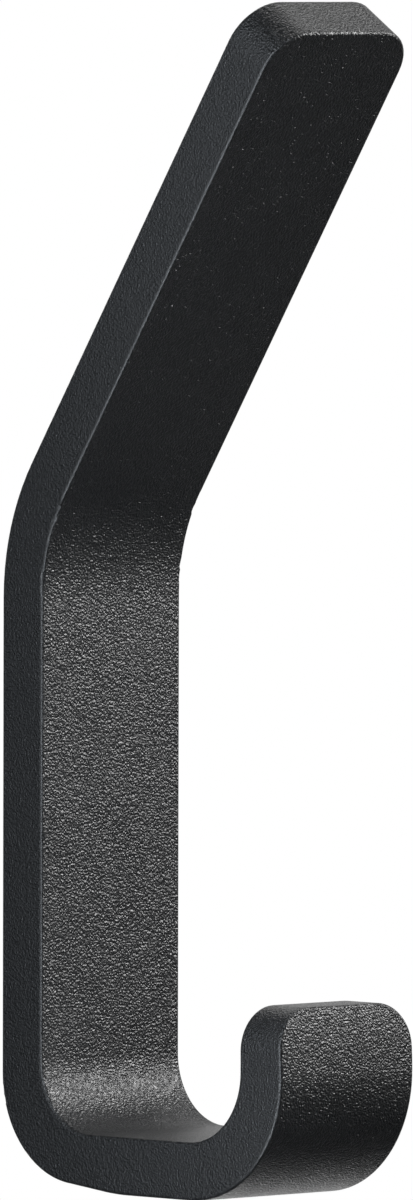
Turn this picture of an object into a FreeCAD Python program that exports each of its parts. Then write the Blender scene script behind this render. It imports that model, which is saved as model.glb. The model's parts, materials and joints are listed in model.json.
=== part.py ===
"""Double robe hook: one piece of flat bar with a leaning arm above, a wall plate and a J-shaped hook below.

Millimetres. +Z is up, the front faces -Y, and the wall is the plane y = 0.
The origin lies on the plate's back face, midway between the two fixing holes.
"""
import FreeCAD, Part
import os
from math import asin, cos, degrees, radians, sin, tan

# Bar section
bar_width = 20.0
bar_thickness = 6.0
edge_radius = 0.35

# Wall plate and leaning arm, measured along the front face, which is the inner face of the bend between them
plate_length = 48.1
arm_bend_radius = 19.6
arm_lean_angle = 33.5
arm_length = 57.6
arm_corner_radius = 4.8

# Heel and floor of the lower hook: the underside rises a little towards the wall and the heel has a tight outer corner
heel_bend_radius = 7.25
heel_outer_radius = 11.0
floor_length = 14.3
underside_rise_angle = 6.3
underside_rise_length = 17.0
underside_bend_radius = 30.0

# Tip of the lower hook: it grows a little narrower, and its outer face eases back towards its end
tip_bend_radius = 7.6
tip_outer_radius = 13.2
tip_length = 6.75
tip_easing = 0.65
tip_corner_radius = 4.6
tip_narrowing = 0.8

# Two blind fixing holes in the back of the plate, as wide as the thread's outer diameter
hole_spacing = 32.0
hole_diameter = 4.0
hole_chamfer = 0.4
hole_floor = 1.0
drill_point_angle = 118.0

# Construction values
full_turn_angle = 360.0
sharp_edge_angle = 45.0
cut_margin = 1.0
match_tolerance = 0.001

# Derived sizes
half_width = bar_width / 2
half_thickness = bar_thickness / 2
half_lean = radians(arm_lean_angle / 2)
plate_top = plate_length / 2
hook_floor = -plate_length / 2 - heel_bend_radius
hook_bottom = hook_floor - bar_thickness
hook_inside = bar_thickness + heel_bend_radius + floor_length + tip_bend_radius
hook_reach = hook_inside + bar_thickness
tip_height = hook_floor + tip_bend_radius + tip_length
tip_face_start = hook_bottom + tip_outer_radius
arm_outer_radius = arm_bend_radius + bar_thickness
arm_direction = FreeCAD.Vector(0, -sin(2 * half_lean), cos(2 * half_lean))
arm_backward = FreeCAD.Vector(0, cos(2 * half_lean), sin(2 * half_lean))


def side_point(forward, height):
    """Point in the plane of the bar's left side, by its distance from the wall and its height."""
    return FreeCAD.Vector(-half_width, -forward, height)


def straight(start, end):
    """A straight edge, or none where the arcs on either side use up its length."""
    if start.distanceToPoint(end) < match_tolerance:
        return []
    return [Part.LineSegment(start, end).toShape()]


def rounded_line(start, corners, end):
    """Edges from start to end past corners, each a point and the radius of the arc that rounds it."""
    points = [start] + [point for point, radius in corners] + [end]
    edges = []
    reached = start
    for (point, radius), before, after in zip(corners, points, points[2:]):
        towards_before = (before - point).normalize()
        towards_after = (after - point).normalize()
        half_opening = towards_before.getAngle(towards_after) / 2
        setback = radius / tan(half_opening)
        inward = (towards_before + towards_after).normalize()
        arc_start = point + towards_before * setback
        arc_middle = point + inward * (radius / sin(half_opening) - radius)
        arc_end = point + towards_after * setback
        edges += straight(reached, arc_start)
        edges.append(Part.Arc(arc_start, arc_middle, arc_end).toShape())
        reached = arc_end
    return edges + straight(reached, end)


def easing_radius(run, inset):
    """Radius of an arc that leaves a line tangent to it and stands off it by the inset after the run."""
    return (run ** 2 + inset ** 2) / (2 * inset)


def arm_front_end():
    """Where the arm's front face ends, on the left side."""
    bend_corner = side_point(bar_thickness, plate_top + arm_bend_radius * tan(half_lean))
    return bend_corner + arm_direction * (arm_bend_radius * tan(half_lean) + arm_length)


def inner_edges():
    """The inner faces' outline, from the tip through the hook and up the front of plate and arm."""
    corners = [
        (side_point(hook_inside, hook_floor), tip_bend_radius),
        (side_point(bar_thickness, hook_floor), heel_bend_radius),
        (side_point(bar_thickness, plate_top + arm_bend_radius * tan(half_lean)), arm_bend_radius),
    ]
    return rounded_line(side_point(hook_inside, tip_height), corners, arm_front_end())


def outer_edges():
    """The outer faces' outline, from the tip's bend round the heel and up the back of plate and arm."""
    heel_corner_height = hook_bottom + underside_rise_length * tan(radians(underside_rise_angle))
    corners = [
        (side_point(hook_reach, hook_bottom), tip_outer_radius),
        (side_point(underside_rise_length, hook_bottom), underside_bend_radius),
        (side_point(0, heel_corner_height), heel_outer_radius),
        (side_point(0, plate_top + arm_outer_radius * tan(half_lean)), arm_outer_radius),
    ]
    arm_back_end = arm_front_end() + arm_backward * bar_thickness
    return rounded_line(side_point(hook_reach, tip_face_start), corners, arm_back_end)


def tip_face_edge():
    """The tip's outer face: an arc that goes on upright from the bend and eases back towards the tip's end."""
    run = tip_height - tip_face_start
    radius = easing_radius(run, tip_easing)
    half_angle = asin(run / radius) / 2
    middle = side_point(hook_reach - radius * (1 - cos(half_angle)), tip_face_start + radius * sin(half_angle))
    end = side_point(hook_reach - tip_easing, tip_height)
    return Part.Arc(side_point(hook_reach, tip_face_start), middle, end).toShape()


def bent_bar():
    """The square-edged bar: its side outline, pushed across the width."""
    tip_end = straight(side_point(hook_inside, tip_height), side_point(hook_reach - tip_easing, tip_height))
    arm_end = straight(arm_front_end(), arm_front_end() + arm_backward * bar_thickness)
    loop = inner_edges() + arm_end + outer_edges()[::-1] + [tip_face_edge()] + tip_end
    return Part.Face(Part.Wire(loop)).extrude(FreeCAD.Vector(bar_width, 0, 0))


def tip_side_cut(side):
    """What the lower hook loses at one side (-1 or 1): a sliver outside a long arc, tangent to the bar."""
    run = hook_reach - bar_thickness
    arc_radius = easing_radius(run, tip_narrowing / 2)
    end_angle = asin((run + cut_margin) / arc_radius)
    bottom = hook_bottom - cut_margin
    clear_of_bar = side * (half_width + cut_margin)

    def arc_point(angle):
        across = half_width - arc_radius * (1 - cos(angle))
        forward = bar_thickness + arc_radius * sin(angle)
        return FreeCAD.Vector(side * across, -forward, bottom)

    start = arc_point(0)
    end = arc_point(end_angle)
    outer_start = FreeCAD.Vector(clear_of_bar, start.y, bottom)
    outer_end = FreeCAD.Vector(clear_of_bar, end.y, bottom)
    edges = [
        Part.Arc(start, arc_point(end_angle / 2), end).toShape(),
        Part.LineSegment(end, outer_end).toShape(),
        Part.LineSegment(outer_end, outer_start).toShape(),
        Part.LineSegment(outer_start, start).toShape(),
    ]
    height = tip_height + cut_margin - bottom
    return Part.Face(Part.Wire(edges)).extrude(FreeCAD.Vector(0, 0, height))


def round_end(solid, end_point, end_direction, radius):
    """Rounds the two corners of the bar's end that lies at a point and is square to a direction."""
    corners = []
    for edge in solid.Edges:
        first = edge.firstVertex().Point
        last = edge.lastVertex().Point
        offsets = [abs((point - end_point).dot(end_direction)) for point in (first, last)]
        if max(offsets) < match_tolerance and abs(first.x - last.x) < half_thickness:
            corners.append(edge)
    return solid.makeFillet(radius, corners)


def edge_turn(solid, edge):
    """Angle between the normals of the two faces that meet at an edge, at its middle."""
    middle = edge.valueAt((edge.FirstParameter + edge.LastParameter) / 2)
    normals = []
    for face in solid.ancestorsOfType(edge, Part.Face):
        normals.append(face.normalAt(*face.Surface.parameter(middle)))
    return degrees(normals[0].getAngle(normals[1]))


def round_edges(solid):
    """Softens the long edges of both wide faces, right round the bar's ends."""
    sharp = [edge for edge in solid.Edges if edge_turn(solid, edge) > sharp_edge_angle]
    return solid.makeFillet(edge_radius, sharp)


def fixing_hole(height):
    """Cutter for one blind hole: chamfered mouth, straight wall and drill point, turned about its axis."""
    radius = hole_diameter / 2
    mouth_radius = radius + hole_chamfer
    point_length = radius / tan(radians(drill_point_angle / 2))
    hole_depth = bar_thickness - hole_floor
    profile = [
        FreeCAD.Vector(0, cut_margin, height),
        FreeCAD.Vector(mouth_radius, cut_margin, height),
        FreeCAD.Vector(mouth_radius, 0, height),
        FreeCAD.Vector(radius, -hole_chamfer, height),
        FreeCAD.Vector(radius, point_length - hole_depth, height),
        FreeCAD.Vector(0, -hole_depth, height),
    ]
    outline = Part.Face(Part.makePolygon(profile + profile[:1]))
    return outline.revolve(profile[0], FreeCAD.Vector(0, 1, 0), full_turn_angle)


def hook_body():
    body = bent_bar()
    for side in (-1, 1):
        body = body.cut(tip_side_cut(side))
    body = round_end(body, side_point(hook_inside, tip_height), FreeCAD.Vector(0, 0, 1), tip_corner_radius)
    body = round_end(body, arm_front_end(), arm_direction, arm_corner_radius)
    body = round_edges(body)
    for height in (-hole_spacing / 2, hole_spacing / 2):
        body = body.cut(fixing_hole(height))
    return body


def main():
    os.makedirs("parts", exist_ok=True)
    body = hook_body()
    body.exportStep("parts/hook_body.step")
    box = body.optimalBoundingBox()
    print(f"hook_body {box.XLength:.2f} x {box.YLength:.2f} x {box.ZLength:.2f} mm, {body.Volume:.0f} mm3")


main()
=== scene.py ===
"""Dresses the robe hook: textured black coat, tapped holes, studio light and the photograph's camera.

Metres, in the hook's own frame: +Z is up, the front faces -Y and the wall is the plane y = 0.
The near side is the one at -X, which the photograph shows.
Directions are given as an azimuth, turning from the front towards +X, and an elevation, both in degrees.
"""
import json
from math import cos, pi, radians, sin

import bpy
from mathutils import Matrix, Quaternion, Vector


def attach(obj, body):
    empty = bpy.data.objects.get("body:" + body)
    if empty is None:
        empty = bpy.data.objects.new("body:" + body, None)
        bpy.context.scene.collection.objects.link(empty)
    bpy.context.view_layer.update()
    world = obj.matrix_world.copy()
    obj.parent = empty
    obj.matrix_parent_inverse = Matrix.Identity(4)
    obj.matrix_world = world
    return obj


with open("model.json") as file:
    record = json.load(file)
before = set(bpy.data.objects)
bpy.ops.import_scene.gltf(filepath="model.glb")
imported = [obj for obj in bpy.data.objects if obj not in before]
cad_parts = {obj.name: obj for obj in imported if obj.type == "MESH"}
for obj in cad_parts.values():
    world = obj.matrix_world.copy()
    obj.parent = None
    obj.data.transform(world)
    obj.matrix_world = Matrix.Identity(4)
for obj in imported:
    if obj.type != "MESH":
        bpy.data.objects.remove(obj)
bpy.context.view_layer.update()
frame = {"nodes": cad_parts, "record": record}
scene = bpy.context.scene
hook = frame["nodes"]["hook_body"]

MILLIMETRE = 0.001

# Photograph: size of its frame and its focal length, in pixels
PHOTO_WIDTH = 413
PHOTO_HEIGHT = 1200
PHOTO_FOCAL_LENGTH = 16417

# Camera: where it looks and from where
CAMERA_TARGET = Vector((0, -0.0202, 0.0241))
CAMERA_AZIMUTH = -44.206
CAMERA_ELEVATION = 2.343
CAMERA_ROLL = 0.136
CAMERA_DISTANCE = 1.7
SENSOR_SIZE = 36

# Powder coat: fine grain, sparse higher specks, painted shade in the grain's pits, and small changes of
# gloss
# Base colour in the grain's pits, darkened as painted shade, and on the grain's tops
COAT_SHADED_PIT = (0.008, 0.0082, 0.0085, 1)
COAT_LIT_TOP = (0.012, 0.0122, 0.0126, 1)
COAT_ROUGHNESS_LOW = 0.37
COAT_ROUGHNESS_HIGH = 0.42
COAT_IOR = 1.5
GRAIN_SIZE = 0.00021
GRAIN_HEIGHT = 0.000118
SPECK_SIZE = 0.0003
SPECK_HEIGHT = 0.000026
SPECK_FOOT = 0.58
SPECK_TOP = 0.75
MOTTLE_SIZE = 0.004
MOTTLE_DETAIL = 3

# Range that most of a noise texture's values lie in
NOISE_LOW = 0.3
NOISE_HIGH = 0.7

# Narrow roundings along the bar's edges: how far the surface turns, and the share of grain that is left
EDGE_TURN_LOW = 0.02
EDGE_TURN_HIGH = 0.15
EDGE_GRAIN = 0.2

# Rounded end corners, which face up as well and keep their grain: upward part of the surface's normal
CORNER_RISE_LOW = 0.05
CORNER_RISE_HIGH = 0.35

# Thread in each fixing hole: a ridge that winds along the hole's wall, with its foot sunk a little into it
THREAD_PITCH = 0.0007
THREAD_HEIGHT = 0.00038
THREAD_SINK = 0.00003
THREAD_FOOT_WIDTH = 0.00058
THREAD_CREST_WIDTH = 0.00018
THREAD_START = 0.00075
THREAD_TURNS = 4
STEPS_PER_TURN = 48
RUN_OUT_STEPS = 16

# Studio: every lamp points at its centre, and the backdrop stands behind the hook
LIGHT_CENTRE = Vector((0, -0.02, 0.025))
NEUTRAL = (1, 1, 1)
COOL = (0.87, 0.93, 1)
WHITE = (1, 1, 1, 1)
AMBIENT = (0.004, 0.004, 0.004, 1)
BACKDROP_AZIMUTH = 135
BACKDROP_ELEVATION = -10
BACKDROP_FULL_ANGLE = 12
BACKDROP_END_ANGLE = 42
FLOOR_DEPTH = 1.5
FLOOR_SIZE = 8
FLOOR_COLOUR = (0.82, 0.82, 0.82, 1)
FLOOR_ROUGHNESS = 0.8
FLOOR_GLOW = 0.8


def aim(azimuth, elevation):
    """Unit vector towards an azimuth and elevation."""
    level = cos(radians(elevation))
    return Vector((sin(radians(azimuth)) * level, -cos(radians(azimuth)) * level, sin(radians(elevation))))


def add_object(name, data):
    piece = bpy.data.objects.new(name, data)
    scene.collection.objects.link(piece)
    return piece


def face_target(piece, target, direction, distance):
    """Puts a camera or lamp at a distance from its target and turns it to face the target."""
    piece.location = target + direction * distance
    piece.rotation_mode = "QUATERNION"
    piece.rotation_quaternion = (-direction).to_track_quat("-Z", "Y")


def add_camera():
    data = bpy.data.cameras.new("photo_camera")
    data.sensor_width = SENSOR_SIZE
    data.lens = SENSOR_SIZE * PHOTO_FOCAL_LENGTH / max(PHOTO_WIDTH, PHOTO_HEIGHT)
    camera = add_object("photo_camera", data)
    face_target(camera, CAMERA_TARGET, aim(CAMERA_AZIMUTH, CAMERA_ELEVATION), CAMERA_DISTANCE)
    roll = Quaternion((0, 0, 1), radians(CAMERA_ROLL))
    camera.rotation_quaternion = camera.rotation_quaternion @ roll
    scene.camera = camera


def add_noise(tree, place, size, detail=0):
    """Noise in the hook's own frame, with lumps of about the given size."""
    noise = tree.nodes.new("ShaderNodeTexNoise")
    noise.inputs["Scale"].default_value = 1 / size
    noise.inputs["Detail"].default_value = detail
    tree.links.new(place.outputs["Object"], noise.inputs["Vector"])
    return noise.outputs["Fac"]


def add_range(tree, value, low, high, at_low=0, at_high=1, interpolation="LINEAR"):
    """Goes from at_low to at_high as the value goes from low to high, and holds still beyond them."""
    change = tree.nodes.new("ShaderNodeMapRange")
    change.interpolation_type = interpolation
    change.inputs["From Min"].default_value = low
    change.inputs["From Max"].default_value = high
    change.inputs["To Min"].default_value = at_low
    change.inputs["To Max"].default_value = at_high
    tree.links.new(value, change.inputs["Value"])
    return change.outputs["Result"]


def add_math(tree, operation, first, second):
    result = tree.nodes.new("ShaderNodeMath")
    result.operation = operation
    tree.links.new(first, result.inputs[0])
    tree.links.new(second, result.inputs[1])
    return result.outputs["Value"]


def add_bump(tree, height, distance, strength):
    bump = tree.nodes.new("ShaderNodeBump")
    bump.inputs["Distance"].default_value = distance
    tree.links.new(height, bump.inputs["Height"])
    tree.links.new(strength, bump.inputs["Strength"])
    return bump


def grain_strength(tree, place):
    """Full grain all over, apart from the narrow roundings between the bar's wide faces and its sides."""
    normal = tree.nodes.new("ShaderNodeSeparateXYZ")
    tree.links.new(place.outputs["Normal"], normal.inputs["Vector"])
    # The turn is 0 on the wide faces and on the sides, and largest halfway round between them
    sideways = add_math(tree, "MULTIPLY", normal.outputs["X"], normal.outputs["X"])
    squared = add_math(tree, "MULTIPLY", sideways, sideways)
    turn = add_math(tree, "SUBTRACT", sideways, squared)
    off_corners = add_range(tree, normal.outputs["Z"], CORNER_RISE_LOW, CORNER_RISE_HIGH, 1, 0)
    edge = add_math(tree, "MULTIPLY", turn, off_corners)
    return add_range(tree, edge, EDGE_TURN_LOW, EDGE_TURN_HIGH, 1, EDGE_GRAIN)


def add_grain(tree, place, grain, shader):
    """The fine grain as one bump, and the specks as a second one on top of it."""
    strength = grain_strength(tree, place)
    grain_bump = add_bump(tree, grain, GRAIN_HEIGHT, strength)
    speck_noise = add_noise(tree, place, SPECK_SIZE)
    specks = add_range(tree, speck_noise, SPECK_FOOT, SPECK_TOP, interpolation="SMOOTHSTEP")
    speck_bump = add_bump(tree, specks, SPECK_HEIGHT, strength)
    tree.links.new(grain_bump.outputs["Normal"], speck_bump.inputs["Normal"])
    tree.links.new(speck_bump.outputs["Normal"], shader.inputs["Normal"])


def add_painted_pit_shade(tree, grain, shader):
    """Painted shade in the grain's pits: the base colour is darker in the pits and lighter on the grain's
    tops.
    """
    pit_shade_ramp = tree.nodes.new("ShaderNodeValToRGB")
    pit, top = pit_shade_ramp.color_ramp.elements
    pit.position = NOISE_LOW
    pit.color = COAT_SHADED_PIT
    top.position = NOISE_HIGH
    top.color = COAT_LIT_TOP
    tree.links.new(grain, pit_shade_ramp.inputs["Fac"])
    tree.links.new(pit_shade_ramp.outputs["Color"], shader.inputs["Base Color"])


def powder_coat():
    material = bpy.data.materials.new("black_powder_coat")
    material.use_nodes = True
    tree = material.node_tree
    shader = tree.nodes["Principled BSDF"]
    shader.inputs["IOR"].default_value = COAT_IOR
    place = tree.nodes.new("ShaderNodeTexCoord")
    grain = add_noise(tree, place, GRAIN_SIZE)
    add_grain(tree, place, grain, shader)
    # Painted shade in the grain's pits, in the base colour
    add_painted_pit_shade(tree, grain, shader)
    mottle = add_noise(tree, place, MOTTLE_SIZE, MOTTLE_DETAIL)
    gloss = add_range(tree, mottle, NOISE_LOW, NOISE_HIGH, COAT_ROUGHNESS_LOW, COAT_ROUGHNESS_HIGH)
    tree.links.new(gloss, shader.inputs["Roughness"])
    return material


def thread_section(step, last_step, hole_radius, hole_height):
    """Four corners of the ridge at one step of its winding; both ends run out into the wall."""
    turn = 2 * pi * step / STEPS_PER_TURN
    rise = min(1, (min(step, last_step - step) + 1) / RUN_OUT_STEPS)
    foot_radius = hole_radius + THREAD_SINK
    crest_radius = foot_radius - (THREAD_SINK + THREAD_HEIGHT) * rise
    depth = THREAD_START + THREAD_PITCH * step / STEPS_PER_TURN
    corners = []
    for radius, width in (
        (foot_radius, -THREAD_FOOT_WIDTH),
        (crest_radius, -THREAD_CREST_WIDTH),
        (crest_radius, THREAD_CREST_WIDTH),
        (foot_radius, THREAD_FOOT_WIDTH),
    ):
        corners.append((radius * cos(turn), -depth - width / 2, hole_height + radius * sin(turn)))
    return corners


def add_thread(name, hole_radius, hole_height, material):
    """The ridge of one hole's thread: a closed strip that winds from the mouth towards the drill point."""
    last_step = THREAD_TURNS * STEPS_PER_TURN
    sections = [thread_section(step, last_step, hole_radius, hole_height) for step in range(last_step + 1)]
    corners = len(sections[0])
    vertices = [corner for section in sections for corner in section]
    faces = [tuple(range(corners))]
    for step in range(last_step):
        first = corners * step
        second = first + corners
        for corner in range(corners):
            following = (corner + 1) % corners
            faces.append((first + corner, second + corner, second + following, first + following))
    end = corners * last_step
    faces.append(tuple(reversed(range(end, end + corners))))
    mesh = bpy.data.meshes.new(name)
    mesh.from_pydata(vertices, [], faces)
    mesh.validate()
    mesh.materials.append(material)
    thread = add_object(name, mesh)
    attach(thread, "root")


def add_threads(material):
    pattern = next(mount for mount in frame["record"]["mounts"] if mount["name"] == "wall_screws")
    hole_radius = pattern["dims"]["hole_r_mm"] * MILLIMETRE
    half_spacing = pattern["dims"]["spacing_y_mm"] * MILLIMETRE / 2
    add_thread("upper_hole_thread", hole_radius, half_spacing, material)
    add_thread("lower_hole_thread", hole_radius, -half_spacing, material)


def add_lamp(name, azimuth, elevation, distance, width, height, power, colour):
    data = bpy.data.lights.new(name, "AREA")
    data.shape = "RECTANGLE"
    data.size = width
    data.size_y = height
    data.energy = power
    data.color = colour
    lamp = add_object(name, data)
    face_target(lamp, LIGHT_CENTRE, aim(azimuth, elevation), distance)
    lamp.visible_camera = False


def add_lamps():
    # Main light, on the plate, the heel and the tip
    add_lamp(
        "key_softbox", azimuth=51, elevation=26, distance=0.6,
        width=0.15, height=0.32, power=5.6, colour=NEUTRAL,
    )
    # Sheen of the near side and of its edges
    add_lamp(
        "left_strip", azimuth=261, elevation=0, distance=0.07,
        width=0.05, height=0.22, power=0.037, colour=COOL,
    )
    add_lamp(
        "front_left_strip", azimuth=301, elevation=0, distance=0.08,
        width=0.015, height=0.22, power=0.12, colour=COOL,
    )
    add_lamp(
        "low_left_softbox", azimuth=290, elevation=-43, distance=0.4,
        width=0.1, height=0.18, power=0.36, colour=COOL,
    )
    add_lamp(
        "back_left_softbox", azimuth=224, elevation=15, distance=0.3,
        width=0.28, height=0.3, power=0.08, colour=COOL,
    )
    # Sheen of the surfaces that face up, and of those that face down
    add_lamp(
        "high_back_softbox", azimuth=131, elevation=52, distance=0.8,
        width=0.5, height=0.6, power=2.05, colour=NEUTRAL,
    )
    add_lamp(
        "low_back_fill", azimuth=135, elevation=-45, distance=1,
        width=0.22, height=0.22, power=0.54, colour=NEUTRAL,
    )
    add_lamp(
        "low_right_fill", azimuth=44, elevation=-65, distance=0.8,
        width=0.5, height=0.5, power=0.06, colour=COOL,
    )
    # Light on the back and the far side
    add_lamp(
        "back_softbox", azimuth=160, elevation=14, distance=0.8,
        width=0.35, height=0.4, power=0.7, colour=NEUTRAL,
    )


def backdrop_colour(tree):
    """White in the middle of the backdrop, fading to black at its rim."""
    place = tree.nodes.new("ShaderNodeTexCoord")
    facing = tree.nodes.new("ShaderNodeVectorMath")
    facing.operation = "DOT_PRODUCT"
    facing.inputs[1].default_value = aim(BACKDROP_AZIMUTH, BACKDROP_ELEVATION)
    tree.links.new(place.outputs["Generated"], facing.inputs[0])
    rim = cos(radians(BACKDROP_END_ANGLE))
    middle = cos(radians(BACKDROP_FULL_ANGLE))
    return add_range(tree, facing.outputs["Value"], rim, middle, interpolation="SMOOTHSTEP")


def add_mix(tree, share, first, second):
    """One shader where the share is 0 and another where it is 1."""
    mix = tree.nodes.new("ShaderNodeMixShader")
    tree.links.new(share, mix.inputs["Fac"])
    tree.links.new(first, mix.inputs[1])
    tree.links.new(second, mix.inputs[2])
    return mix.outputs["Shader"]


def add_world():
    """White to the camera; reflections see a white backdrop behind the hook and a dark room elsewhere."""
    world = bpy.data.worlds.new("studio")
    world.use_nodes = True
    tree = world.node_tree
    path = tree.nodes.new("ShaderNodeLightPath")
    ambient = tree.nodes["Background"]
    ambient.inputs["Color"].default_value = AMBIENT
    backdrop = tree.nodes.new("ShaderNodeBackground")
    tree.links.new(backdrop_colour(tree), backdrop.inputs["Color"])
    white = tree.nodes.new("ShaderNodeBackground")
    white.inputs["Color"].default_value = WHITE
    mirrored = add_math(tree, "MAXIMUM", path.outputs["Is Glossy Ray"], path.outputs["Is Transmission Ray"])
    room = add_mix(tree, mirrored, ambient.outputs["Background"], backdrop.outputs["Background"])
    view = add_mix(tree, path.outputs["Is Camera Ray"], room, white.outputs["Background"])
    tree.links.new(view, tree.nodes["World Output"].inputs["Surface"])
    scene.world = world


def pale_floor():
    """A pale floor that glows to the camera alone, so that its glow throws no light on the hook."""
    material = bpy.data.materials.new("pale_floor")
    material.use_nodes = True
    tree = material.node_tree
    shader = tree.nodes["Principled BSDF"]
    shader.inputs["Base Color"].default_value = FLOOR_COLOUR
    shader.inputs["Roughness"].default_value = FLOOR_ROUGHNESS
    shader.inputs["Emission Color"].default_value = WHITE
    path = tree.nodes.new("ShaderNodeLightPath")
    glow = add_range(tree, path.outputs["Is Camera Ray"], 0, 1, 0, FLOOR_GLOW)
    tree.links.new(glow, shader.inputs["Emission Strength"])
    return material


def add_floor():
    """A plain floor, well below the hook, which hangs on a wall; reflections look past it into the room."""
    half = FLOOR_SIZE / 2
    corners = [(-half, -half, 0), (half, -half, 0), (half, half, 0), (-half, half, 0)]
    mesh = bpy.data.meshes.new("floor")
    mesh.from_pydata(corners, [], [(0, 1, 2, 3)])
    mesh.materials.append(pale_floor())
    floor = add_object("floor", mesh)
    floor.location.z = -FLOOR_DEPTH
    floor.visible_glossy = False


scene.view_settings.view_transform = "Standard"
add_camera()
coat = powder_coat()
for slot in hook.material_slots:
    slot.material = coat
add_threads(coat)
add_lamps()
add_world()
add_floor()
